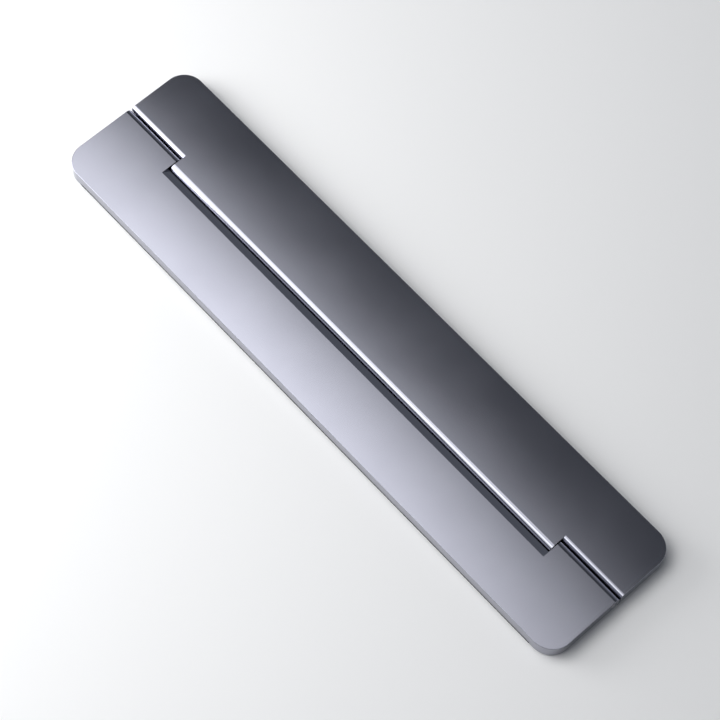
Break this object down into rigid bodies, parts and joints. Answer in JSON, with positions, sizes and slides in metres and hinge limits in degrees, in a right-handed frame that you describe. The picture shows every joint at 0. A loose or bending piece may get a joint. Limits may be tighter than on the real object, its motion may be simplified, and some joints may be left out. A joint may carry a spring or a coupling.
{
  "type": "laptop stand",
  "caption": "Slim stick-on laptop stand: a rounded metal bar split lengthwise by an interlocking hinge; one leaf bonds to the laptop's base, the other folds out as its leg.",
  "frame": {"origin": "middle of the stand's footprint, on the surface that its pads rest on", "axes": "+X along the hinge, +Y across to the leaf that is stuck to the laptop, +Z out of the smooth face of the closed stand"},
  "size_m": [0.23, 0.0534, 0.0056],
  "materials": {
    "alloy": "satin anodised, dark space grey with a faint lavender cast",
    "pin_steel": "ground steel",
    "spring_steel": "blued spring steel",
    "nylon": "black nylon",
    "adhesive": "matt foam tape",
    "silicone": "matt silicone"
  },
  "bodies": {
    "fixed": {"fixed_leaf": "alloy", "adhesive_pad": "adhesive", "friction_sleeve_left": "spring_steel", "friction_sleeve_right": "spring_steel", "thrust_washer_left": "nylon", "thrust_washer_right": "nylon"},
    "leg": {"swing_leaf": "alloy", "cushion_pad": "silicone", "foot_strip": "silicone", "hinge_pin_left": "pin_steel", "hinge_pin_right": "pin_steel"}
  },
  "joints": [
    {"name": "leg_fold", "type": "hinge", "parent": "fixed", "child": "leg", "pos_m": [0, 0, 0.00295], "axis": [-1, 0, 0], "range_deg": [0, 96]}
  ]
}
